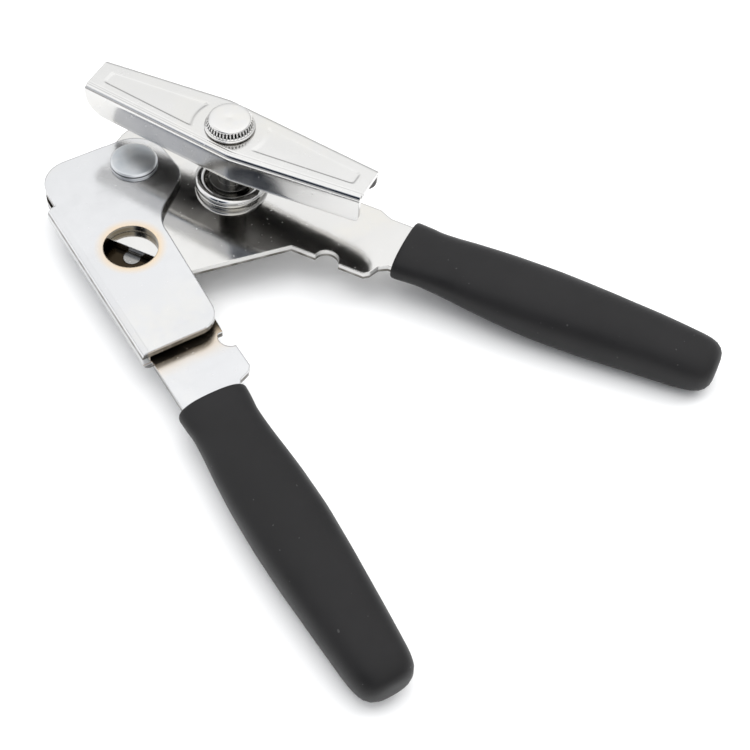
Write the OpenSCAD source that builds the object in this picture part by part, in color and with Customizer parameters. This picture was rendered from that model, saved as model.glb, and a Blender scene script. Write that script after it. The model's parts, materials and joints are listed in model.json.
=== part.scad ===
// Hand can opener. Two arms swing on one rivet: a folded arm that carries the cutter wheel, and a
// flat arm that slides inside the fold and carries the turning key, its shaft and the feed wheel.
// Z = 0 is the table it lies on. Both arms lie level above the table.
// Each arm is drawn in the closed tool's frame: the pivot at the origin, the grips towards -Y.

/* [Sheet metal] */
// Thickness of both arm plates
arm_t = 2.2; // [1.8:0.1:2.4]
// Play above and below the flat arm inside the fold
plate_play = 0.1; // [0.05:0.05:0.2]
// Outer radius of the fold's two bends
bend_r = 2.5; // [2.4:0.1:3]
// Thickness of the turning key's sheet
key_t = 1.5; // [1.2:0.1:1.7]
// Outer radius of the turning key's bends
key_bend = 1.8; // [1.8:0.1:2.4]

/* [Layout] */
// Height of the folded arm's lower plate above the table
plate_lift = 8; // [8:0.1:11]
// How far the arms stand open
open_angle = 33.8; // [12:0.1:60]
// Distance from the pivot to the key's shaft
shaft_reach = 28.1; // [27:0.1:30]
// Direction from the pivot to the shaft with the arms closed
shaft_dir = -74.3; // [-77:0.1:-73]
// Cutter axis, across from the pivot
cutter_x = -14.7; // [-15.5:0.1:-14.5]
// Cutter axis, along from the pivot
cutter_y = -27.5; // [-29:0.1:-27]
// Middle line between the closed grips
middle_x = -5; // [-5.5:0.1:-4.5]
// Pivot's place in the part's frame, across
pivot_x = -39.97; // [-100:0.01:100]
// Pivot's place in the part's frame, along
pivot_y = 75.05; // [-100:0.01:200]

/* [Arms] */
// Outer face of the fold
fold_x = -28.7; // [-30:0.1:-28]
// Length of the fold
fold_len = 57.9; // [40:0.1:58]
// Lower end of the folded arm's top plate
fold_foot_y = -62.1; // [-64:0.1:-60]
// Top edge of both arm heads
head_top_y = 9.9; // [9:0.1:11]
// Radius of the heads' outer corners
head_r = 8.8; // [7:0.1:9]
// Radius of the folded arm's nose round the pivot
nose_r = 9.8; // [9:0.1:9.9]
// Radius of the access hole over the cutter screw
access_r = 7.5; // [6:0.1:8]
// Radius of the bottle-cap notches
notch_r = 3.5; // [3:0.1:4]
// Middle of the bottle-cap notches along the arm
notch_y = -64.5; // [-65:0.1:-64]
// How much nearer the pivot the flat arm's notch and tang steps sit
swing_step = 1.2; // [0:0.1:2]
// Back edge of the flat arm
back_x = 17.8; // [17.6:0.1:19]
// Width of the tangs where they enter the grips
tang_w = 16; // [14:0.5:17]
// Width of the tangs inside the grips
tang_core_w = 10; // [8:0.5:12]
// Lower end of the tangs
tang_end_y = -140; // [-142:1:-100]

/* [Pivot rivet] */
// Radius of the rivet's flat head
rivet_head_r = 6.7; // [6:0.1:8]
// Height of the head's side
rivet_side_h = 1.5; // [1:0.1:2]
// How much the head is crowned above its side
rivet_crown = 0.5; // [0.3:0.1:1]
// Radius of the rivet's shank
rivet_r = 4; // [3:0.1:4.5]
// Radius of the rivet's closed tail
rivet_tail_r = 5.6; // [5:0.1:6]

/* [Grips] */
// Mouth end of the grips
grip_mouth_y = -80.5; // [-81:0.1:-80]
// How much higher the flat arm's grip starts, over its higher tang
grip_lift = 2.3; // [0:0.1:2.4]
// How far the flat arm's grip leans away from the middle at its tip
grip_sweep = 1.9; // [0:0.1:2]
// How square the grips' sections are: 2 is an ellipse
grip_power = 2.4; // [2:0.1:3]

/* [Turning key] */
// Half of the key's length
key_half = 42.8; // [36:0.1:46]
// Half width of the key's flat top at its waist
key_waist = 8.3; // [7:0.1:9]
// Half width of the key's flat top at its ends
key_tip = 4.4; // [3:0.1:6]
// How far the waist corners sit off the middle
key_skew = 5; // [0:0.5:8]
// Depth of the key's flanges, with the sheet
key_depth = 9.2; // [8:0.1:12]
// Height of the key's top face above the table
key_top_z = 34.9; // [33:0.1:38]
// Angle of the key, from +X
key_angle = -58.4; // [-180:0.1:180]
// Radius of the knurled nut's foot
nut_r = 7; // [6.8:0.1:7.4]
// Height of the knurled nut
nut_h = 3.1; // [2.8:0.1:4]
// Ridges of the knurl
nut_ridges = 40; // [24:1:48]

/* [Shaft and bushing] */
// Radius of the shaft in its bushing
shaft_r = 4; // [3.5:0.1:4.5]
// Radius of the shaft's seat for the gear and the feed wheel
seat_r = 3.4; // [3:0.1:3.6]
// Radius of the shaft's collar above the bushing
collar_r = 6.2; // [5.5:0.1:7]
// Outer radius of the bushing's cup
cup_r = 10.5; // [9.5:0.1:10.6]
// Height of the cup's lip above the flat arm
cup_h = 3.2; // [1.5:0.1:3.4]

/* [Wheels and gears] */
// Teeth on each of the two gears
gear_teeth = 20; // [14:1:24]
// Thickness of the gears
gear_t = 2; // [1.6:0.1:2]
// Play between the gears' teeth at the pitch circle
backlash = 0.3; // [0.2:0.05:0.5]
// Radius of the cutter wheel
cutter_r = 11; // [10.5:0.1:11.2]
// Thickness of the cutter wheel
cutter_t = 1.2; // [1:0.1:1.4]
// Radius of the feed wheel's serrated rim
feed_r = 11.9; // [11.5:0.1:12]
// Serrations round the feed wheel
feed_teeth = 26; // [18:1:32]
// Radius of the cutter screw's shoulder
screw_r = 3; // [2.5:0.1:3.5]
// Radius of the cutter screw's head
screw_head_r = 4.6; // [4:0.1:5.5]

/* [Hidden] */
$fn = 96;

steel = [0.82, 0.83, 0.85];
dark_steel = [0.6, 0.61, 0.63];
rubber = [0.16, 0.16, 0.17];

run_gap = 0.06;      // radial clearance of a turning fit
seat_gap = 0.02;     // radial clearance of a fixed fit
face_gap = 0.1;      // play between stacked faces that turn past each other
eps = 0.01;

// Heights of the sheets
tang_z = plate_lift + arm_t;
top_z0 = tang_z + arm_t + 2 * plate_play;
top_z1 = top_z0 + arm_t;
swing_z0 = tang_z + plate_play;
swing_z1 = swing_z0 + arm_t;
tang_mid_z = plate_lift + arm_t / 2;

// Heights of the stack under the head
screw_head_h = 1;
cutter_z = screw_head_h + face_gap;
hub_z = cutter_z + cutter_t;
gear_z = 5.1;
feed_z = hub_z + 0.3;
washer_z = gear_z + gear_t + face_gap;
washer_t = plate_lift - washer_z - face_gap;
bushing_z = washer_z + 0.4;

// Heights above the flat arm
cup_floor_z = swing_z1 + 0.7;
thread_r = 3;
spring_t = 0.6;
collar_z = cup_floor_z + spring_t + face_gap;
collar_h = 1.8;
lock_t = 0.4;
bore_h = nut_h - 0.9;
nut_z = key_top_z + lock_t;

// Plan
shaft_xy = shaft_reach * [cos(shaft_dir), sin(shaft_dir)];
cutter_xy = [cutter_x, cutter_y];
relief_r = cup_r + 1.5;
relief_xy = shaft_xy + [0.8, 0];
inner_x = relief_xy[0] - relief_r - 0.8;
edge_lean = 0.05;    // how much the folded arm's edge leans in, per mm down the arm
head_left_x = fold_x + bend_r;
head_centre_y = head_top_y - head_r;
bump_in_x = 2 * middle_x - inner_x;
bushing_barrel_r = 7.6;

// Gear form: both gears have the same teeth and meet when the arms are closed
gear_gap = norm(shaft_xy - cutter_xy);
gear_mod = gear_gap / gear_teeth;
pressure_angle = 20;
pitch_r = gear_gap / 2;
base_r = pitch_r * cos(pressure_angle);
tip_r = pitch_r + 0.85 * gear_mod;
root_r = pitch_r - 1.15 * gear_mod;
half_tooth = 90 / gear_teeth - backlash / 4 / pitch_r * 180 / PI;
mesh_dir = atan2(shaft_xy[1] - cutter_xy[1], shaft_xy[0] - cutter_xy[0]);

// Grip sections: place along, middle across, half width, half height, drop below the tang
grip_sections = [[grip_mouth_y, -18.3, 9.4, 4.4, 0], [grip_mouth_y - 0.8, -18.3, 9.8, 4.8, 0],
    [-88.5, -18.5, 9.3, 4.8, 0.1], [-98, -18.8, 9.7, 5.8, 0.4], [-112, -19, 10.6, 7, 0.8],
    [-122, -19.1, 10.7, 7.7, 1], [-136, -19.4, 10.2, 7.9, 1.2], [-152, -19.6, 9.2, 7.5, 1.6],
    [-164, -19.7, 8.4, 6.8, 2.1], [-168.8, -19.7, 7.5, 6, 2.1], [-170.9, -19.7, 6, 4.7, 2.1],
    [-171.7, -19.7, 4, 3, 2.1]];
neck_section = 2;
belly_section = 6;

module placed() { translate([pivot_x, pivot_y, 0]) children(); }
module opened() { rotate(open_angle) children(); }
module on_shaft() { placed() opened() translate(shaft_xy) children(); }
module on_cutter() { placed() translate(cutter_xy) children(); }

module slab(z, t) { translate([0, 0, z]) linear_extrude(t) children(); }
module ring(z, t, outer, inner) { slab(z, t) difference() { circle(outer); circle(inner); } }

// What a rounded corner loses: a square corner outside an arc
module corner_waste(centre, r, turn) {
    translate(centre) rotate(turn) difference() { square(r + eps); circle(r); }
}

// Puts what is drawn for the folded arm on the flat arm's side of the middle line
module swing_side() { translate([2 * middle_x, swing_step]) mirror([1, 0]) children(); }

// A tooth's flank point at radius r, as an angle from the tooth's middle
function flank(r) = let (a = acos(min(1, base_r / max(r, base_r))), inv = tan(a) * 180 / PI - a,
    inv0 = tan(pressure_angle) * 180 / PI - pressure_angle) half_tooth + inv0 - inv;
flank_radii = [root_r, base_r, base_r + (tip_r - base_r) / 4, (base_r + tip_r) / 2,
    tip_r - (tip_r - base_r) / 4, tip_r];
function polar(r, a) = [r * cos(a), r * sin(a)];
function tooth(mid) = concat([for (r = flank_radii) polar(r, mid - flank(r))],
    [for (i = [len(flank_radii) - 1:-1:0]) polar(flank_radii[i], mid + flank(flank_radii[i]))]);

module gear(phase, bore) {
    difference() {
        polygon([for (i = [0:gear_teeth - 1]) each tooth(phase + i * 360 / gear_teeth)]);
        circle(bore);
    }
}

module star(count, outer, inner) {
    step = 180 / count;
    polygon([for (i = [0:2 * count - 1]) polar(i % 2 == 0 ? outer : inner, i * step)]);
}

// The tang and the bottle-cap notch, on the folded arm's side of the middle line
module tang_outline(top_y) {
    outer = head_left_x + 0.1;
    core = outer + tang_w / 2 - tang_core_w / 2;
    difference() {
        polygon([[inner_x, top_y], [inner_x, -75.6], [inner_x - 1.2, -77], [inner_x - 4.2, -78.2],
            [outer + tang_w, -80.5], [outer + tang_w, -84], [core + tang_core_w, -94],
            [core + tang_core_w, tang_end_y], [core, tang_end_y], [core, -94], [outer, -84],
            [outer, top_y]]);
        translate([inner_x + 0.3, notch_y]) circle(notch_r);
    }
}

// The nose round the pivot, its shoulder beside the shaft, and the relief that the cup nests in
module nose_outline() {
    shoulder = [4.1, -7];
    shoulder_r = 6.2;
    side = atan2(shoulder[1], shoulder[0]) + acos((nose_r - shoulder_r) / norm(shoulder));
    gap = relief_xy - shoulder;
    under = atan2(gap[1], gap[0]) + acos((shoulder_r + relief_r) / norm(gap));
    circle(nose_r);
    translate(shoulder) circle(shoulder_r);
    polygon([[inner_x, nose_r], [0, nose_r], polar(nose_r, side), shoulder + polar(shoulder_r, side),
        shoulder + polar(shoulder_r, under), relief_xy + polar(relief_r, under + 180),
        [inner_x, relief_xy[1]]]);
}

module channel_head(foot_y) {
    edge_x = relief_xy[0] - relief_r + 0.03;
    foot_x = edge_x + edge_lean * (foot_y - relief_xy[1]);
    difference() {
        union() {
            polygon([[head_left_x, foot_y], [foot_x, foot_y], [edge_x, relief_xy[1]],
                [inner_x, head_top_y], [head_left_x, head_top_y]]);
            nose_outline();
        }
        corner_waste([head_left_x + head_r, head_centre_y], head_r, 90);
        translate(relief_xy) circle(relief_r);
        circle(rivet_r + seat_gap);
    }
}

module fold_section() {
    module bend_pair(x, low, high, r) {
        for (y = [low + r, high - r]) translate([x + r, y]) circle(r);
        translate([x, low + r]) square([r + eps, high - low - 2 * r]);
        translate([x + r, low]) square([head_left_x - x - r + eps, high - low]);
    }
    inner_r = bend_r - arm_t;
    intersection() {
        difference() {
            bend_pair(fold_x, plate_lift, top_z1, bend_r);
            bend_pair(fold_x + arm_t, tang_z, top_z0, inner_r);
        }
        translate([fold_x, plate_lift]) square([head_left_x - fold_x, top_z1 - plate_lift]);
    }
}

module channel_arm() {
    foot_r = 6;
    foot_centre_x = relief_xy[0] - relief_r - foot_r
        + edge_lean * (fold_foot_y + foot_r - relief_xy[1]);
    color(steel) placed() {
        slab(plate_lift, arm_t) difference() {
            union() {
                channel_head(fold_foot_y);
                tang_outline(fold_foot_y + eps);
            }
            translate(cutter_xy) circle(screw_r - 0.6 + seat_gap);
        }
        slab(top_z0, arm_t) difference() {
            channel_head(fold_foot_y);
            translate(cutter_xy) circle(access_r);
            corner_waste([foot_centre_x, fold_foot_y + foot_r], foot_r, -90);
        }
        translate([0, fold_foot_y + fold_len, 0]) rotate([90, 0, 0])
            linear_extrude(fold_len) fold_section();
    }
}

module swing_outline() {
    wing_y = -32.2;
    wing_foot_y = -52.5;
    waist_y = -69.1;
    difference() {
        union() {
            polygon([[head_left_x, head_top_y], [back_x, head_top_y], [back_x, waist_y],
                [2 * middle_x - head_left_x - 0.1, waist_y - 4], [bump_in_x, waist_y - 4],
                [bump_in_x, wing_foot_y], [head_left_x, wing_y]]);
            swing_side() tang_outline(wing_foot_y - swing_step);
        }
        corner_waste([head_left_x + head_r, head_centre_y], head_r, 90);
        corner_waste([back_x - head_r, head_centre_y], head_r, 0);
        swing_side() translate([inner_x + 0.3, notch_y]) circle(notch_r);
        circle(rivet_r + run_gap);
        translate(shaft_xy) circle(bushing_barrel_r + seat_gap);
    }
}

module swing_arm() { color(steel) placed() opened() slab(swing_z0, arm_t) swing_outline(); }

// One slice of a grip: a thin rounded oval standing across the arm
module grip_slice(s, lift, sweep) {
    function bulge(v) = sign(v) * pow(abs(v), 2 / grip_power);
    belly_y = grip_sections[belly_section][0];
    tip_y = grip_sections[len(grip_sections) - 1][0];
    rise = lift * max(0, (s[0] - belly_y) / (grip_mouth_y - belly_y)) - s[4];
    lean = sweep * (grip_mouth_y - s[0]) / (grip_mouth_y - tip_y);
    translate([s[1] - lean, s[0], tang_mid_z + rise]) rotate([90, 0, 0]) linear_extrude(eps)
        polygon([for (a = [0:9:351]) [s[2] * bulge(cos(a)), s[3] * bulge(sin(a))]]);
}

module grip(slot_z, step, lift, sweep) {
    last = len(grip_sections) - 1;
    difference() {
        union() {
            hull() for (i = [0:neck_section]) grip_slice(grip_sections[i], lift, sweep);
            hull() for (i = [neck_section:last]) grip_slice(grip_sections[i], lift, sweep);
        }
        slab(slot_z, arm_t) translate([0, step]) tang_outline(grip_mouth_y + 2);
    }
}

module left_grip() { color(rubber) placed() grip(plate_lift, 0, 0, 0); }

module right_grip() {
    color(rubber) placed() opened() translate([2 * middle_x, 0, 0]) mirror([1, 0, 0])
        grip(swing_z0, swing_step, grip_lift, grip_sweep);
}

// A round head's profile: a shallow dome of radius r and height h, standing on the axis
module dome_profile(r, h) {
    sphere_r = (r * r + h * h) / (2 * h);
    intersection() {
        translate([0, h - sphere_r]) circle(sphere_r);
        square([r, h]);
    }
}

module pivot_rivet() {
    tail_h = 1.2;
    edge_r = 0.5;
    top_r = rivet_head_r - edge_r;
    color(steel) placed() {
        translate([0, 0, top_z1]) cylinder(r = rivet_head_r, h = rivet_side_h - edge_r);
        translate([0, 0, top_z1 + rivet_side_h - edge_r])
            cylinder(r1 = rivet_head_r, r2 = top_r, h = edge_r);
        translate([0, 0, top_z1 + rivet_side_h]) rotate_extrude() dome_profile(top_r, rivet_crown);
        translate([0, 0, plate_lift]) cylinder(r = rivet_r, h = top_z1 - plate_lift);
        translate([0, 0, plate_lift]) rotate_extrude() mirror([0, 1])
            dome_profile(rivet_tail_r, tail_h);
    }
}

// The bushing: a cup with a rounded lip on top, a barrel through the arm and a collar under it
module shaft_bushing() {
    lip_r = cup_h / 2;
    neck_r = 6.6;
    under_r = 8.6;
    under_h = 1.1;
    color(steel) on_shaft() rotate_extrude() difference() {
        union() {
            translate([0, swing_z1]) square([cup_r - lip_r, cup_floor_z - swing_z1]);
            translate([cup_r - lip_r, swing_z1 + lip_r]) circle(lip_r);
            translate([0, swing_z0]) square([bushing_barrel_r, swing_z1 - swing_z0 + eps]);
            translate([0, swing_z0 - under_h]) square([under_r, under_h]);
            translate([0, bushing_z]) square([neck_r, swing_z0 - bushing_z]);
        }
        translate([0, bushing_z - 1]) square([shaft_r + run_gap, 20]);
    }
}

module drive_shaft() {
    end_z = 0.4;
    step_z = gear_z + gear_t;
    under_key_z = key_top_z - key_t;
    color(dark_steel) on_shaft() {
        translate([0, 0, end_z]) cylinder(r = seat_r, h = step_z - end_z);
        translate([0, 0, step_z]) cylinder(r = shaft_r, h = under_key_z - step_z);
        translate([0, 0, collar_z]) cylinder(r = collar_r, h = collar_h);
        slab(under_key_z, key_t) key_seat(0);
        translate([0, 0, key_top_z]) cylinder(r = thread_r, h = lock_t + bore_h - 0.2);
    }
}

// The flatted seat that makes the key turn the shaft
module key_seat(grow) {
    rotate(key_angle - open_angle) intersection() {
        circle(seat_r + grow);
        square([2 * seat_r + 1, 2 * (2.6 + grow)], center = true);
    }
}

module spring_washer() {
    color(steel) on_shaft() ring(cup_floor_z + face_gap / 2, spring_t, 7, shaft_r + 0.3);
}

// The key's plan: the outline of its flat top, grown sideways and run on past its ends
function key_points(grow, past_end) = let (fall = key_waist - key_tip, x = key_half + past_end,
    tip = key_tip + grow, waist = key_waist + grow)
    [[-x, tip - past_end * fall / (key_half - key_skew)], [-key_skew, waist],
        [x, tip - past_end * fall / (key_half + key_skew)]];
module key_plan(grow, past_end) {
    side = key_points(grow, past_end);
    polygon(concat(side, -side));
}

// What one of the key's bends loses outside its radius, along the edge from p to q
module bend_waste(p, q) {
    along = q - p;
    translate(p) rotate(atan2(along[1], along[0]) + 90) rotate([90, 0, 0]) translate([0, 0, -2])
        linear_extrude(norm(along) + 4)
            corner_waste([-key_bend, key_top_z - key_bend], key_bend, 0);
}

module turning_key() {
    low_z = key_top_z - key_depth;
    deep_r = 6;
    small_r = 1.5;
    edge = key_points(key_bend, 0);
    reach = key_waist + key_bend + 1;
    module end_waste(r, x, turn) {
        translate([0, reach, low_z + r]) rotate([90, 0, 0])
            linear_extrude(reach) corner_waste([x, 0], r, turn);
    }
    color(steel) on_shaft() rotate(key_angle - open_angle) difference() {
        slab(low_z, key_depth) key_plan(key_bend, 0);
        translate([0, 0, -key_t]) slab(low_z, key_depth) key_plan(key_bend - key_t, 1);
        for (half = [0, 180]) rotate(half) {
            bend_waste(edge[0], edge[1]);
            bend_waste(edge[1], edge[2]);
            end_waste(deep_r, key_half - deep_r, -90);
            end_waste(small_r, small_r - key_half, 180);
        }
        rotate(open_angle - key_angle) slab(key_top_z - key_t - eps, key_t + 2 * eps)
            key_seat(seat_gap);
    }
}

module lock_washer() { color(steel) on_shaft() ring(key_top_z, lock_t, 6.4, 3.2); }

module key_nut() {
    rim_h = 0.5;
    cap_h = 0.5;
    ridge = 0.35;
    knurl_r = nut_r - 0.4;
    taper = 0.92;
    cap_r = taper * (knurl_r - ridge) - 0.1;
    color(steel) on_shaft() difference() {
        union() {
            translate([0, 0, nut_z]) cylinder(r = nut_r, h = rim_h);
            translate([0, 0, nut_z + rim_h]) linear_extrude(nut_h - rim_h - cap_h, scale = taper)
                star(nut_ridges, knurl_r, knurl_r - ridge);
            translate([0, 0, nut_z + nut_h - cap_h])
                cylinder(r1 = cap_r, r2 = cap_r - cap_h / 2, h = cap_h);
        }
        translate([0, 0, nut_z - eps]) cylinder(r = thread_r + seat_gap, h = bore_h);
    }
}

module thrust_washer() {
    color(steel) on_shaft()
        ring(gear_z + gear_t + face_gap / 2, bushing_z - gear_z - gear_t - face_gap, 6.6, shaft_r + 0.1);
}

module drive_gear() {
    color(dark_steel) on_shaft() slab(gear_z, gear_t)
        gear(mesh_dir + 180 + 180 / gear_teeth, seat_r + seat_gap);
}

module feed_wheel() {
    hub_r = 5.4;
    tooth_h = 0.9;
    drum_h = gear_z - feed_z - 0.2;
    color(dark_steel) on_shaft() difference() {
        union() {
            slab(feed_z, drum_h) star(feed_teeth, feed_r, feed_r - tooth_h);
            cylinder(r1 = hub_r - 0.4, r2 = hub_r, h = 0.4);
            translate([0, 0, 0.4]) cylinder(r = hub_r, h = gear_z - 0.4);
        }
        translate([0, 0, -eps]) cylinder(r = seat_r + seat_gap, h = gear_z + 2 * eps);
    }
}

module cutter_screw() {
    slot_w = 1.2;
    slot_d = 0.6;
    color(dark_steel) on_cutter() {
        difference() {
            cylinder(r = screw_head_r, h = screw_head_h);
            translate([-screw_head_r, -slot_w / 2, -eps]) cube([2 * screw_head_r, slot_w, slot_d]);
        }
        translate([0, 0, screw_head_h]) cylinder(r = screw_r, h = plate_lift - screw_head_h);
        translate([0, 0, plate_lift]) cylinder(r = screw_r - 0.6, h = arm_t);
    }
}

module cutter_wheel() {
    edge_t = 0.2;
    bevel = 2.4;
    bore = screw_r + run_gap;
    color(steel) on_cutter() rotate_extrude()
        polygon([[bore, cutter_z], [cutter_r - bevel, cutter_z], [cutter_r, hub_z - edge_t],
            [cutter_r, hub_z], [bore, hub_z]]);
}

module cutter_hub() {
    color(dark_steel) on_cutter() ring(hub_z, gear_z - hub_z, 5.2, screw_r + run_gap);
}

module cutter_gear() {
    color(dark_steel) on_cutter() slab(gear_z, gear_t) gear(mesh_dir, screw_r + run_gap);
}

module cutter_spring() {
    color(steel) on_cutter() ring(washer_z, washer_t, 5.6, screw_r + 0.3);
}

channel_arm();
swing_arm();
left_grip();
right_grip();
pivot_rivet();
shaft_bushing();
drive_shaft();
spring_washer();
turning_key();
lock_washer();
key_nut();
thrust_washer();
drive_gear();
feed_wheel();
cutter_screw();
cutter_wheel();
cutter_hub();
cutter_gear();
cutter_spring();
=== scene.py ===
# Looks of the hand can opener: materials, the finely shaped pieces, studio and camera.
# Metres throughout, in the same frame as the CAD; named sizes are in mm where MM turns them into metres.
import json
import math

import bmesh
import bpy
import numpy as np
from mathutils import Matrix, Vector


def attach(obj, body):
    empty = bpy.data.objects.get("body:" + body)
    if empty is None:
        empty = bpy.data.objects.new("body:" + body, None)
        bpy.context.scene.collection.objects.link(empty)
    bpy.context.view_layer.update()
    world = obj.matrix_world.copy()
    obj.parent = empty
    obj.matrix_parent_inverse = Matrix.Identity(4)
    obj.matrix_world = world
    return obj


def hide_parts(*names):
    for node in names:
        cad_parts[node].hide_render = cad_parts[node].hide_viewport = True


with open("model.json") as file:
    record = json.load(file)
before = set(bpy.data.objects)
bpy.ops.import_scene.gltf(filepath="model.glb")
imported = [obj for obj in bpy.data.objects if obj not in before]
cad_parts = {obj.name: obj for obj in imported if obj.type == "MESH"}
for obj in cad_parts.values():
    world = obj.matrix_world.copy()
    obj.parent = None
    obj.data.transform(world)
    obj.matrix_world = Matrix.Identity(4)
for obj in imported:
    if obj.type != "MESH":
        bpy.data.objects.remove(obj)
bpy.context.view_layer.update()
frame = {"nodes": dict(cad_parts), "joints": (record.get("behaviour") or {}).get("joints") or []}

MM = 0.001
joint = {j["name"]: j for j in frame["joints"]}
PIVOT = np.array(joint["handle_hinge"]["pos_m"][:2])
SHAFT = np.array(joint["key_spin"]["pos_m"][:2])
CUTTER = np.array(joint["cutter_spin"]["pos_m"][:2])
OPEN = math.radians(33.8)           # how far the arms stand open at rest
KEY_ANGLE = math.radians(-58.4)     # the key's heading at rest

# sizes in mm, the same as in the CAD
SHEET = 2.2                         # the arms' sheet
LOWER_Z = 8.0                       # underside of the folded arm's lower plate
FLAT_Z = 10.3                       # underside of the flat arm
UPPER_Z = 12.6                      # underside of the folded arm's upper plate
ACCESS_R = 7.5                      # the access hole in the upper plate
FOOT_Y = -62.1                      # the upper plate's foot, from the pivot
RIVET_R = 6.7
KEY_TOP_Z = 34.9
NUT_Z = 35.3                        # the nut's foot
NUT_H = 3.1
NUT_RIDGES = 40
KNURL_LOW = (1.1, 6.24)             # height over the nut's foot and radius, where the knurl starts and ends
KNURL_HIGH = (2.3, 5.96)


# ---------------------------------------------------------------- node materials

class Nodes:
    """A small helper that adds nodes to an empty node tree and links them."""

    def __init__(self, tree):
        self.tree = tree
        tree.nodes.clear()

    def add(self, kind, inputs=None, **props):
        n = self.tree.nodes.new("ShaderNode" + kind)
        for k, v in props.items():
            setattr(n, k, v)
        for k, v in (inputs or {}).items():
            self.set(n.inputs[k], v)
        return n

    def set(self, socket, value):
        if hasattr(value, "is_linked"):
            self.tree.links.new(value, socket)
        else:
            socket.default_value = value

    def math(self, op, a, b=0.0):
        return self.add("Math", {0: a, 1: b}, operation=op).outputs[0]

    def times(self, *values):
        product = values[0]
        for value in values[1:]:
            product = self.math("MULTIPLY", product, value)
        return product

    def ramp(self, value, low, high, to_low=0.0, to_high=1.0, smooth=True):
        return self.add("MapRange", {"Value": value, "From Min": low, "From Max": high, "To Min": to_low,
                                     "To Max": to_high},
                        interpolation_type="SMOOTHSTEP" if smooth else "LINEAR").outputs["Result"]

    def mix(self, fac, a, b):
        return self.add("Mix", {0: fac, 6: a, 7: b}, data_type="RGBA").outputs[2]


class Net(Nodes):
    """The nodes of one new material, with a Principled BSDF at their end."""

    def __init__(self, name):
        self.mat = bpy.data.materials.new(name)
        self.mat.use_nodes = True
        super().__init__(self.mat.node_tree)
        self.bsdf = self.add("BsdfPrincipled")
        self.add("OutputMaterial", {"Surface": self.bsdf.outputs[0]})
        self.coord = self.add("TexCoord").outputs["Object"]

    def base(self, **values):
        names = {"color": "Base Color", "rough": "Roughness", "metal": "Metallic", "normal": "Normal",
                 "specular": "Specular IOR Level"}
        for k, v in values.items():
            self.set(self.bsdf.inputs[names[k]], v)

    def noise(self, scale, detail=3.0, rough=0.55, vector=None, distortion=0.0):
        return self.add("TexNoise", {"Vector": vector or self.coord, "Scale": scale, "Detail": detail,
                                     "Roughness": rough, "Distortion": distortion}).outputs["Fac"]

    def stretched(self, scale, angle):
        return self.add("Mapping", {"Vector": self.coord, "Scale": scale,
                                    "Rotation": (0, 0, angle)}).outputs[0]

    def bump(self, height, distance, strength=1.0, normal=None):
        inputs = {"Height": height, "Distance": distance, "Strength": strength}
        if normal is not None:
            inputs["Normal"] = normal
        return self.add("Bump", inputs).outputs[0]

    def bevel(self, radius):
        return self.add("Bevel", {"Radius": radius}, samples=6).outputs[0]

    def axes(self):
        s = self.add("SeparateXYZ", {"Vector": self.coord})
        return s.outputs[0], s.outputs[1], s.outputs[2]

    def distance_to(self, x, y):
        flat = self.add("VectorMath", {0: self.coord, 1: (1, 1, 0)}, operation="MULTIPLY").outputs[0]
        return self.add("VectorMath", {0: flat, 1: (x, y, 0)}, operation="DISTANCE").outputs["Value"]

    def rise(self, value, start, end):
        """0 before start and 1 after end, both in mm."""
        return self.ramp(value, start * MM, end * MM)

    def fall(self, value, start, end):
        """1 before start and 0 after end, both in mm."""
        return self.ramp(value, start * MM, end * MM, 1, 0)

    def band(self, value, lower, upper):
        """1 between two soft edges, each a start and an end in mm."""
        return self.times(self.rise(value, *lower), self.fall(value, *upper))


def dimmed(color, factor):
    return (*[c * factor for c in color], 1)


def steel(name, color, rough, spread=0.1, wave=0.00006, wave_scale=55, edge=0.0003, brushed=None,
          tint=None):
    """Plated or turned steel: slow waviness, fine orange peel, wiped smears, dust specks, eased edges.

    brushed is the heading of fine lines, and tint(m, shade) adds what only one piece has.
    """
    m = Net(name)
    smear = m.noise(38, 4, 0.6, distortion=0.6)
    streak = m.noise(60, 3, vector=m.stretched((1, 9, 1), 0.5))
    dust = m.ramp(m.noise(1500, 0.0, 0.3), 0.8, 0.84)
    worn = m.math("ADD", m.ramp(smear, 0.35, 0.75, 0.0, spread),
                  m.ramp(streak, 0.5, 0.8, 0.0, spread * 0.35))
    roughness = m.math("ADD", m.math("ADD", worn, rough), m.times(dust, 0.25))

    straw = (color[0], color[1] * 0.985, color[2] * 0.94, 1)
    yellowed = m.ramp(m.noise(31, 2, distortion=0.4), 0.5, 0.68, 0.0, 0.7)
    shade = m.mix(m.ramp(m.noise(24, 3), 0.3, 0.7), (*color, 1), dimmed(color, 0.94))
    shade = m.mix(yellowed, shade, straw)
    shade = m.mix(m.ramp(m.noise(210, 3, 0.6), 0.35, 0.7), shade, dimmed(color, 0.955))
    shade = m.mix(m.times(dust, 0.35), shade, (0.92, 0.92, 0.9, 1))
    if tint:
        shade = tint(m, shade)

    normal = m.bevel(edge)
    normal = m.bump(m.noise(wave_scale, 2, 0.45), wave, normal=normal)
    normal = m.bump(m.noise(420, 2), 0.000004, normal=normal)
    if brushed is not None:
        lines = m.noise(300, 3, vector=m.stretched((1, 0.04, 1), brushed))
        normal = m.bump(lines, 0.00001, normal=normal)
    m.base(color=shade, rough=roughness, metal=1.0, normal=normal)
    return m.mat


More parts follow.
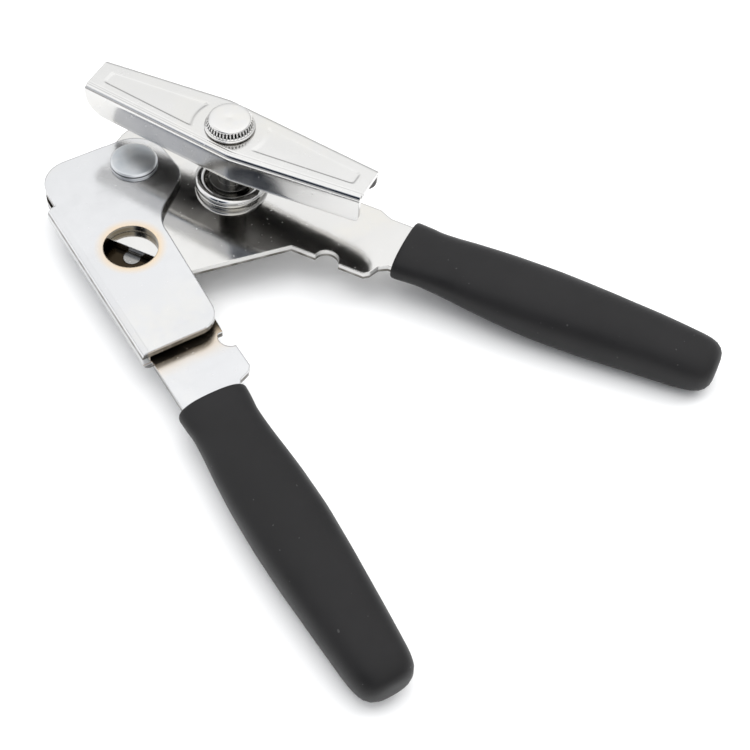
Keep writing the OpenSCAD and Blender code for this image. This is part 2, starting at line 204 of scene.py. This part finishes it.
def sheared_edge(m, shade, bottoms, torn_and_shaded_height):
    """Cut sheet edges: bright where the tool sheared them, torn below that. The torn part is painted near
    black, darker than torn steel is: painted shade for the dark reflection there.

    bottoms are the levels of the sheets' undersides; each edge is torn, and painted dark, up to the given
    height over its own.
    """
    facing = m.add("SeparateXYZ", {"Vector": m.add("NewGeometry").outputs["True Normal"]}).outputs[2]
    wall = m.ramp(m.math("ABSOLUTE", facing), 0.25, 0.5, 1, 0)
    z = m.axes()[2]
    torn_and_shaded = 0.0
    for bottom in bottoms:
        top = bottom + torn_and_shaded_height
        torn_and_shaded = m.math("MAXIMUM", torn_and_shaded, m.band(z, (bottom - 0.1, bottom), (top - 0.25, top)))
    ragged = m.ramp(m.noise(260, 2), 0.25, 0.7, 0.65, 1.0)
    # painted shade: the torn band of each wall is mixed towards near black
    return m.mix(m.times(torn_and_shaded, wall, ragged), shade, (0.1, 0.092, 0.078, 1))


def flat_arm_tint(m, shade):
    """The flat arm's cut edge, with painted shade on its torn lower part."""
    return sheared_edge(m, shade, [FLAT_Z], 1.0)


def folded_arm_tint(m, shade):
    """The folded arm: its cut edges with painted shade on their torn part, straw colour round the access hole
    and at the foot, brown in the hole with painted shade on the lower plate below it, and painted shade in the
    gap under the foot.
    """
    shade = sheared_edge(m, shade, [LOWER_Z, UPPER_Z], 1.6)
    reach = m.distance_to(CUTTER[0], CUTTER[1])
    _, y, z = m.axes()
    patchy = m.ramp(m.noise(110, 3), 0.2, 0.75, 0.6, 1.0)

    top = UPPER_Z + SHEET
    halo = m.times(m.fall(reach, ACCESS_R, ACCESS_R + 2.9), m.rise(z, top - 0.2, top - 0.1))
    # brown on the access hole's wall; the same mask paints shade on the lower plate seen through the hole
    hole_tint_and_shade = m.times(m.fall(reach, ACCESS_R + 0.04, ACCESS_R + 0.1),
                        m.fall(z, top - 0.08, top - 0.04))
    shade = m.mix(m.times(halo, patchy, 0.75), shade, (0.72, 0.54, 0.33, 1))
    shade = m.mix(m.times(hole_tint_and_shade, 0.8), shade, (0.2, 0.165, 0.11, 1))

    foot = PIVOT[1] / MM + FOOT_Y
    low_top = LOWER_Z + SHEET
    low_face = m.band(z, (low_top - 0.3, low_top - 0.1), (low_top + 0.1, low_top + 0.3))
    straw = m.times(m.rise(y, foot - 7.5, foot + 0.5), low_face)
    # painted shade: the lower plate's top is mixed almost to black under the foot, where the gap lies in shade
    gap = m.times(m.rise(y, foot - 1.5, foot + 3), low_face)
    shade = m.mix(m.times(straw, patchy, 0.7), shade, (0.64, 0.46, 0.25, 1))
    return m.mix(m.times(gap, 0.97), shade, (0.014, 0.01, 0.006, 1))


def rivet_tint(m, shade):
    """The rivet's head: a dull, mottled middle with a bright rim, and a band of painted dark reflection round
    its side.
    """
    reach = m.distance_to(PIVOT[0], PIVOT[1])
    mottle = m.ramp(m.noise(190, 4, 0.6), 0.3, 0.7, 0.3, 1.0)
    dull = m.times(m.fall(reach, RIVET_R - 1.0, RIVET_R - 0.5), mottle)
    shade = m.mix(m.times(dull, 0.9), shade, (0.55, 0.585, 0.62, 1))
    foot = UPPER_Z + SHEET
    # painted reflection: a dark band part way up the head's side
    painted_reflection_band = m.band(m.axes()[2], (foot + 0.5, foot + 0.65), (foot + 0.95, foot + 1.1))
    side = m.times(painted_reflection_band, m.rise(reach, RIVET_R - 0.2, RIVET_R - 0.1))
    return m.mix(m.times(side, 0.9), shade, (0.03, 0.035, 0.04, 1))


def cup_tint(m, shade):
    """Painted shade inside the cup, under the key: darker and mottled near the shaft."""
    reach = m.distance_to(SHAFT[0], SHAFT[1])
    painted_cup_shade = m.times(m.fall(reach, 7.5, 8.1), m.ramp(m.noise(180, 3), 0.3, 0.7, 0.7, 1.0))
    return m.mix(painted_cup_shade, shade, (0.09, 0.08, 0.066, 1))


def nut_tint(m, shade):
    """Painted shade in the grooves between the nut's ridges, which lean in towards the top."""
    reach = m.distance_to(SHAFT[0], SHAFT[1])
    z = m.axes()[2]
    (low, low_r), (high, high_r) = KNURL_LOW, KNURL_HIGH
    lean = (low_r - high_r) / (high - low)
    middle_r = m.math("SUBTRACT", (low_r + lean * (NUT_Z + low)) * MM, m.times(z, lean))
    painted_groove_shade = m.fall(m.math("SUBTRACT", reach, middle_r), -0.1, 0.12)
    knurl = m.band(z, (NUT_Z + low - 0.25, NUT_Z + low - 0.1), (NUT_Z + high, NUT_Z + high + 0.15))
    return m.mix(m.times(painted_groove_shade, knurl), shade, (0.012, 0.014, 0.014, 1))


def rubber(name):
    """Black moulded rubber: satin, softly mottled, finely grained, with a little dust."""
    m = Net(name)
    mottle = m.noise(46, 4, 0.6)
    grain = m.noise(2600, 2, 0.6)
    ripple = m.noise(110, 2)
    specks = m.ramp(m.noise(900, 1.0, 0.2), 0.8, 0.83)
    shade = m.mix(m.ramp(mottle, 0.3, 0.75), (0.006, 0.0057, 0.0062, 1), (0.0105, 0.01, 0.0107, 1))
    shade = m.mix(m.times(specks, 0.3), shade, (0.12, 0.12, 0.12, 1))
    rough = m.ramp(m.math("ADD", mottle, m.times(ripple, 0.4)), 0.4, 1.0, 0.42, 0.56)
    normal = m.bump(ripple, 0.00004)
    normal = m.bump(grain, 0.000012, 0.8, normal)
    m.base(color=shade, rough=rough, metal=0.0, specular=0.28, normal=normal)
    return m.mat


folded_arm_mat = steel("plated_arm", (0.635, 0.638, 0.648), rough=0.12, spread=0.13, edge=0.0005,
                       tint=folded_arm_tint)
flat_arm_mat = steel("plated_swing_arm", (0.65, 0.643, 0.63), rough=0.08, wave=0.00014, wave_scale=48,
                     edge=0.0005, tint=flat_arm_tint)
rivet_mat = steel("plated_rivet", (0.7, 0.715, 0.735), rough=0.36, spread=0.14, wave=0.00005,
                  wave_scale=140, tint=rivet_tint)
cup_mat = steel("plated_bushing", (0.66, 0.658, 0.652), rough=0.08, spread=0.08, wave=0.00004,
                wave_scale=120, tint=cup_tint)
key_mat = steel("plated_key", (0.66, 0.655, 0.645), rough=0.13, spread=0.12, wave=0.00004, wave_scale=70,
                edge=0.00015)
# painted shade: a much darker copy of the key's steel for its underside, which lies in shade
key_underside_shade_mat = steel("painted_shade_key_underside", (0.22, 0.215, 0.21), rough=0.3, spread=0.15, wave=0.00004,
                      wave_scale=70)
nut_mat = steel("plated_nut", (0.69, 0.686, 0.684), rough=0.12, spread=0.08, wave=0.00003, edge=0.00012,
                tint=nut_tint)
turned_mat = steel("turned_steel", (0.3, 0.295, 0.285), rough=0.2, spread=0.14, brushed=0.3, wave=0.00002)
washer_mat = steel("spring_steel", (0.3, 0.29, 0.27), rough=0.2, spread=0.12, wave=0.00002, edge=0.00012)
gear_mat = steel("hardened_gear", (0.42, 0.41, 0.4), rough=0.28, spread=0.18, brushed=0.8, wave=0.00002)
wheel_mat = steel("hardened_wheel", (0.4, 0.395, 0.39), rough=0.26, spread=0.16, brushed=1.2, wave=0.00002)
cutter_mat = steel("ground_cutter", (0.66, 0.665, 0.68), rough=0.14, brushed=0.0, wave=0.00001, edge=0.0001)
grip_mat = rubber("black_rubber")

for node, mat in {"channel_arm": folded_arm_mat, "swing_arm": flat_arm_mat, "pivot_rivet": rivet_mat,
                  "shaft_bushing": cup_mat, "drive_shaft": turned_mat, "lock_washer": washer_mat,
                  "thrust_washer": washer_mat, "drive_gear": gear_mat, "feed_wheel": wheel_mat,
                  "cutter_screw": turned_mat, "cutter_wheel": cutter_mat, "cutter_hub": wheel_mat,
                  "cutter_gear": gear_mat}.items():
    for s in frame["nodes"][node].material_slots:
        s.material = mat


# ---------------------------------------------------------------- shaped pieces

def piece(name, verts, faces, body, mat, nodes, sharp=40):
    """A mesh object in the shared frame, in metres, that stands for CAD nodes and rides on a body."""
    mesh = bpy.data.meshes.new(name)
    mesh.from_pydata([tuple(v) for v in verts], [], faces)
    bm = bmesh.new()
    bm.from_mesh(mesh)
    bmesh.ops.remove_doubles(bm, verts=bm.verts, dist=1e-7)
    bmesh.ops.recalc_face_normals(bm, faces=bm.faces)
    for f in bm.faces:
        f.smooth = True
    for e in bm.edges:
        e.smooth = not (e.is_manifold and e.calc_face_angle(0) > math.radians(sharp))
    bm.to_mesh(mesh)
    bm.free()
    mesh.materials.append(mat)
    obj = bpy.data.objects.new(name, mesh)
    bpy.context.scene.collection.objects.link(obj)
    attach(obj, body)
    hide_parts(*nodes)
    return obj


def grid_faces(rows, cols, wrap=False):
    """Quads over a rows x cols grid of points; wrap closes each row on itself."""
    last = cols if wrap else cols - 1
    return [(r * cols + c, r * cols + (c + 1) % cols, (r + 1) * cols + (c + 1) % cols, (r + 1) * cols + c)
            for r in range(rows - 1) for c in range(last)]


def smoothstep(x):
    x = np.clip(x, 0, 1)
    return x * x * (3 - 2 * x)


def soft_min(values, k):
    """A rounded minimum, k mm wide."""
    return -k * np.log(sum(np.exp(-v / k) for v in values))


def round_corner(radius, past):
    """How far a rounded corner has drawn in, past mm after the straight edge ends."""
    past = np.clip(past, 0, radius)
    return radius - math.sqrt(radius * radius - past * past)


def make_key():
    """The pressed key: a flat top with two sunk panels, rounded bends, and flanges with rounded corners.

    It is drawn with u along it and v across, in mm from the shaft, and is then turned to its heading.
    """
    half, tip, waist, skew = 42.8, 4.4, 8.3, 5.0    # half length, half widths at tip and waist, waist's place
    bend, depth, sheet = 1.8, 9.2, 1.5              # bend radius, flanges' depth, sheet
    deep_corner, small_corner = 6.0, 1.5            # corners of each flange
    rim, boss, panel_end = 2.3, 10.2, 39.3          # what the panels stay clear of: edges, nut, tips
    panel_depth, panel_slope = 0.27, 0.8
    line_depth, line_place, line_width = 0.05, 0.35, 0.2    # the press line beside one bend

    def side(u):
        """Half width of the flat top at u, on the +v side; the other side is its mirror image along u."""
        rising = tip + (u + half) * (waist - tip) / (half - skew)
        falling = tip + (half - u) * (waist - tip) / (half + skew)
        return soft_min([rising, falling], 0.1)

    def foot(u):
        """Level of the flange's lower edge at u, on the +v side."""
        drawn_in = (round_corner(deep_corner, u - (half - deep_corner))
                    + round_corner(small_corner, (small_corner - half) - u))
        return KEY_TOP_Z - depth + drawn_in

    def sink(u, v):
        """How far the top lies below its level."""
        to_rim = (side(u) + side(-u)) / 2 - rim - abs(v)
        inside = soft_min([to_rim, math.hypot(u, v) - boss, panel_end - abs(u)], 0.35)
        press_line = line_depth * math.exp(-((side(-u) + v - line_place) / line_width) ** 2)
        return panel_depth * float(smoothstep(inside / panel_slope)) + press_line

    # rows lie closer at the rounded corners
    ends = half - np.concatenate([[0, 0.1, 0.22, 0.36, 0.5], np.arange(0.66, 7.3, 0.18)])
    us = np.concatenate([-ends, np.linspace(-half + 7.5, half - 7.5, 200), ends[::-1]])
    flange, arc, flat = 7, 7, 110                   # points down a flange, round a bend, across the top
    bend_z = KEY_TOP_Z - bend
    points = []
    for u in us:
        row = []
        plus, minus = float(side(u)), float(side(-u))
        for t in np.linspace(0, 1, flange, endpoint=False):
            row.append((-minus - bend, foot(-u) + t * (bend_z - foot(-u))))
        for a in np.linspace(0, math.pi / 2, arc, endpoint=False):
            row.append((-minus - bend * math.cos(a), bend_z + bend * math.sin(a)))
        for v in -minus + np.linspace(0, 1, flat) * (minus + plus):
            row.append((v, KEY_TOP_Z - sink(u, v)))
        for a in np.linspace(math.pi / 2, 0, arc, endpoint=False)[1:]:
            row.append((plus + bend * math.cos(a), bend_z + bend * math.sin(a)))
        for t in np.linspace(1, 0, flange):
            row.append((plus + bend, foot(u) + t * (bend_z - foot(u))))
        points += [(u, v, z) for v, z in row]

    c, s = math.cos(KEY_ANGLE), math.sin(KEY_ANGLE)
    verts = [(SHAFT[0] + (u * c - v * s) * MM, SHAFT[1] + (u * s + v * c) * MM, z * MM)
             for u, v, z in points]
    obj = piece("key_sheet", verts, grid_faces(len(us), len(row)), "key_train", key_mat,
                ["turning_key"], sharp=60)
    # the sheet thickens away from its normals, so they have to point up
    if sum(p.normal.z * p.area for p in obj.data.polygons) < 0:
        obj.data.flip_normals()
    shell = obj.modifiers.new("sheet", "SOLIDIFY")
    shell.thickness = sheet * MM
    shell.offset = -1
    shell.use_even_offset = True
    # the underside takes the darker, painted-shade copy of the steel
    obj.data.materials.append(key_underside_shade_mat)
    shell.material_offset = 1
    ease = obj.modifiers.new("ease", "BEVEL")
    ease.width = 0.22 * MM
    ease.segments = 3
    ease.limit_method = "ANGLE"
    ease.angle_limit = math.radians(50)
    return obj


def make_nut():
    """The knurled nut: a flared foot in two steps, a tapered knurl and a flat top with a centre mark."""
    # radius, height over the foot, depth of the ridges
    profile = [(2.9, 0, 0), (6.72, 0, 0), (6.93, 0.07, 0), (7.0, 0.22, 0), (6.94, 0.38, 0), (6.76, 0.47, 0),
               (6.66, 0.52, 0), (6.68, 0.6, 0), (6.62, 0.74, 0), (6.46, 0.84, 0), (6.32, 0.92, 0.14),
               (KNURL_LOW[1], KNURL_LOW[0], 0.24), (6.1, 1.7, 0.25), (KNURL_HIGH[1], KNURL_HIGH[0], 0.2),
               (5.93, 2.42, 0.06), (5.94, 2.52, 0), (5.9, 2.68, 0), (5.78, 2.86, 0), (5.58, 2.99, 0),
               (5.3, 3.05, 0), (4.6, 3.08, 0), (2.5, NUT_H, 0), (0.6, NUT_H, 0), (0.35, NUT_H - 0.025, 0),
               (0.001, NUT_H - 0.04, 0)]
    count = NUT_RIDGES * 10
    verts = []
    for radius, height, ridge in profile:
        for i in range(count):
            a = 2 * math.pi * i / count
            wave = math.cos(NUT_RIDGES * a)
            r = radius + ridge * (abs(wave) ** 0.6 * math.copysign(1, wave))
            verts.append((SHAFT[0] + r * MM * math.cos(a), SHAFT[1] + r * MM * math.sin(a),
                          (NUT_Z + height) * MM))
    faces = grid_faces(len(profile), count, wrap=True)
    return piece("knurled_nut", verts, faces, "key_train", nut_mat, ["key_nut"], sharp=50)


def wave_washer(name, inner, outer, z, lift, centre, body, node):
    """A spring washer that ripples round its ring."""
    count, waves, thick = 144, 3, 0.35
    section = [(inner, 0), (outer, 0), (outer, thick), (inner, thick)]
    verts = []
    for i in range(count):
        a = 2 * math.pi * i / count
        up = lift * (0.5 + 0.5 * math.cos(waves * a))
        verts += [(centre[0] + r * MM * math.cos(a), centre[1] + r * MM * math.sin(a),
                   (z + dz + up) * MM) for r, dz in section]
    faces = []
    for i in range(count):
        here, there = i * 4, (i + 1) % count * 4
        faces += [(here + k, here + (k + 1) % 4, there + (k + 1) % 4, there + k) for k in range(4)]
    return piece(name, verts, faces, body, washer_mat, [node])


# Sections of the left grip, in mm from the pivot: place along, middle across, half width, half height, and
# how far the middle lies below the tang's own. They follow the CAD's, with a softer mouth and tip.
SECTIONS = np.array([
    [-80.5, -18.3, 9.3, 4.25, 0.0], [-80.58, -18.3, 9.52, 4.5, 0.0], [-80.8, -18.3, 9.7, 4.7, 0.0],
    [-81.3, -18.3, 9.8, 4.8, 0.0], [-85, -18.4, 9.6, 4.75, 0.0], [-88.5, -18.5, 9.3, 4.85, 0.1],
    [-92.5, -18.62, 9.4, 5.25, 0.25], [-98, -18.8, 9.75, 5.85, 0.4], [-105, -18.9, 10.25, 6.5, 0.6],
    [-112, -19.0, 10.6, 7.05, 0.8], [-122, -19.1, 10.72, 7.7, 1.0], [-129, -19.25, 10.5, 7.88, 1.1],
    [-136, -19.4, 10.2, 7.9, 1.2], [-144, -19.5, 9.7, 7.7, 1.4], [-152, -19.6, 9.2, 7.5, 1.6],
    [-158, -19.66, 8.8, 7.2, 1.85], [-164, -19.7, 8.35, 6.8, 2.1], [-167, -19.7, 7.9, 6.4, 2.1],
    [-169.2, -19.7, 7.2, 5.7, 2.1], [-170.5, -19.7, 6.2, 4.85, 2.1], [-171.3, -19.7, 4.9, 3.75, 2.1],
    [-171.65, -19.7, 3.3, 2.5, 2.1], [-171.7, -19.7, 1.4, 1.1, 2.1]])


def spline(rows, fine):
    """The rows of a table, smoothly interpolated along their first column."""
    n = len(rows)
    gap = np.diff(rows[:, 0])
    slope = np.diff(rows[:, 1:], axis=0) / gap[:, None]
    tangent = np.zeros((n, rows.shape[1] - 1))
    for i in range(1, n - 1):
        both = slope[i - 1] * slope[i] > 0
        total = np.where(both, slope[i - 1] + slope[i], 1)
        tangent[i] = np.where(both, 2 * slope[i - 1] * slope[i] / total, 0)
    tangent[0], tangent[-1] = slope[0], slope[-1]
    out = []
    for i in range(n - 1):
        h = gap[i]
        a, b = rows[i, 1:], rows[i + 1, 1:]
        steps = max(1, int(round(abs(h) / fine)))
        for t in np.arange(steps) / steps:
            values = ((2 * t ** 3 - 3 * t ** 2 + 1) * a + (t ** 3 - 2 * t ** 2 + t) * h * tangent[i]
                      + (3 * t ** 2 - 2 * t ** 3) * b + (t ** 3 - t ** 2) * h * tangent[i + 1])
            out.append(np.concatenate([[rows[i, 0] + t * h], values]))
    out.append(rows[-1])
    return np.array(out)


def make_grip(name, body, node, right):
    """A moulded sleeve: a soft lip at the mouth, a neck, a round belly and a blunt tip.

    The right grip is the left one mirrored about the closed tool's middle line and swung open. Its neck is
    lifted to the flat arm's level, and it sweeps outwards towards its tip.
    """
    count, power = 72, 2 / 2.4                      # points round a section, and how square it is
    middle_x, tang_mid_z = -5.0, 9.1
    lift, sweep = 2.3, 1.9
    belly_y = -136
    mouth_y, tip_y = SECTIONS[0, 0], SECTIONS[-1, 0]

    def place(x, y, z):
        if right:
            x = 2 * middle_x - x
            x, y = x * math.cos(OPEN) - y * math.sin(OPEN), x * math.sin(OPEN) + y * math.cos(OPEN)
        return (PIVOT[0] + x * MM, PIVOT[1] + y * MM, z * MM)

    rows = spline(SECTIONS, 1.1)
    verts = []
    for y, x, half_w, half_h, drop in rows:
        z = tang_mid_z - drop
        if right:
            z += lift * max(0.0, (y - belly_y) / (mouth_y - belly_y))
            x -= sweep * (mouth_y - y) / (mouth_y - tip_y)
        for i in range(count):
            c, s = math.cos(2 * math.pi * i / count), math.sin(2 * math.pi * i / count)
            verts.append(place(x + half_w * math.copysign(abs(c) ** power, c), y,
                               z + half_h * math.copysign(abs(s) ** power, s)))
    faces = grid_faces(len(rows), count, wrap=True)
    faces.append(tuple(range(count - 1, -1, -1)))
    faces.append(tuple((len(rows) - 1) * count + i for i in range(count)))
    return piece(name, verts, faces, body, grip_mat, [node], sharp=70)


make_key()
make_nut()
wave_washer("wavy_washer", 4.35, 7.0, 13.2, 0.3, SHAFT, "key_train", "spring_washer")
wave_washer("cutter_wave", 3.35, 5.6, 7.18, 0.36, CUTTER, "cutter_arm", "cutter_spring")
make_grip("grip_sleeve_left", "cutter_arm", "left_grip", False)
make_grip("grip_sleeve_right", "key_arm", "right_grip", True)


# ---------------------------------------------------------------- studio and camera

def make_floor():
    m = Net("floor_paper")
    m.base(color=m.mix(m.noise(3, 2), (0.93, 0.93, 0.93, 1), (0.945, 0.945, 0.945, 1)), rough=0.9,
           specular=0.1)
    mesh = bpy.data.meshes.new("floor")
    mesh.from_pydata([(-4, -4, 0), (4, -4, 0), (4, 4, 0), (-4, 4, 0)], [], [(0, 1, 2, 3)])
    mesh.materials.append(m.mat)
    floor = bpy.data.objects.new("floor", mesh)
    bpy.context.scene.collection.objects.link(floor)


def area(name, where, size, power):
    """A square lamp, size metres wide, that faces the opener and isn't mirrored in its metal."""
    light = bpy.data.lights.new(name, "AREA")
    light.size = size
    light.energy = power
    obj = bpy.data.objects.new(name, light)
    bpy.context.scene.collection.objects.link(obj)
    obj.location = where
    obj.rotation_euler = (Vector((0, 0, 0.01)) - Vector(where)).to_track_quat("-Z", "Y").to_euler()
    obj.visible_glossy = False


def camera():
    """The photograph's viewing angle: heading from +Y towards +X, height and tilt in degrees."""
    heading, height, tilt = (math.radians(a) for a in (35.63, 53.61, 5.04))
    target, distance = Vector((-0.01898, -0.02151, 0.0138)), 0.41237
    forward = Vector((math.sin(heading) * math.cos(height), math.cos(heading) * math.cos(height),
                      -math.sin(height)))
    level = Vector((math.cos(heading), -math.sin(heading), 0))
    up = level.cross(forward)
    right = math.cos(tilt) * level + math.sin(tilt) * up
    up = math.cos(tilt) * up - math.sin(tilt) * level
    data = bpy.data.cameras.new("camera")
    data.sensor_width = 36
    data.lens = 76.32
    data.clip_start = 0.01
    obj = bpy.data.objects.new("camera", data)
    bpy.context.scene.collection.objects.link(obj)
    obj.matrix_world = Matrix((right, up, -forward)).transposed().to_4x4()
    obj.location = target - forward * distance
    bpy.context.scene.camera = obj


def spot(sky, direction, azimuth, height, across, tall, inner):
    """1 inside an oval spot of the sky, fading to 0 at its rim; across and tall are half sizes."""
    az, el = math.radians(azimuth), math.radians(height)
    ahead = Vector((math.sin(az) * math.cos(el), math.cos(az) * math.cos(el), math.sin(el)))
    side = Vector((math.cos(az), -math.sin(az), 0))
    up = side.cross(ahead)
    x, y, z = (sky.add("VectorMath", {0: direction, 1: tuple(a)}, operation="DOT_PRODUCT").outputs["Value"]
               for a in (side / across, up / tall, ahead))
    flat = sky.add("CombineXYZ", {0: x, 1: y}).outputs[0]
    reach = sky.add("VectorMath", {0: flat}, operation="LENGTH").outputs["Value"]
    return sky.times(sky.ramp(reach, inner, 1.0, 1.0, 0.0), sky.math("GREATER_THAN", z, 0.0))


def make_tent():
    """A white tent: bright overhead, dim low down, with a bright panel and two dark openings.

    The camera itself sees plain white.
    """
    world = bpy.data.worlds.new("tent")
    bpy.context.scene.world = world
    world.use_nodes = True
    sky = Nodes(world.node_tree)
    direction = sky.add("TexCoord").outputs["Generated"]
    height = sky.add("SeparateXYZ", {"Vector": direction}).outputs[2]
    dome = sky.ramp(height, 0.0, 0.8, 0.35, 1.45, smooth=False)
    panel = sky.times(spot(sky, direction, 318, 24, 0.5, 0.5, 0.7), 1.35)
    lit = sky.math("MAXIMUM", dome, panel)
    hollow = spot(sky, direction, 250, 38, 0.48, 0.4, 0.55)
    slit = spot(sky, direction, 346, 62, 0.2, 0.2, 0.3)
    for dark, depth in ((hollow, 0.97), (slit, 0.35)):
        lit = sky.times(lit, sky.math("SUBTRACT", 1.0, sky.times(dark, depth)))
    white = (0.99, 0.995, 1.0, 1)
    tinted = sky.mix(hollow, white, (0.5, 0.66, 1.0, 1))
    reflected = sky.add("Background", {"Color": tinted, "Strength": lit})
    backdrop = sky.add("Background", {"Color": white, "Strength": 1.0})
    seen = sky.add("MixShader", {0: sky.add("LightPath").outputs["Is Camera Ray"], 1: reflected.outputs[0],
                                 2: backdrop.outputs[0]})
    sky.add("OutputWorld", {"Surface": seen.outputs[0]})


make_floor()
area("side_light", (1.1, 0.05, 1.0), 1.0, 7.5)
area("top_light", (-0.1, 0.35, 1.3), 1.2, 7)
camera()
make_tent()
bpy.context.scene.view_settings.view_transform = "Standard"
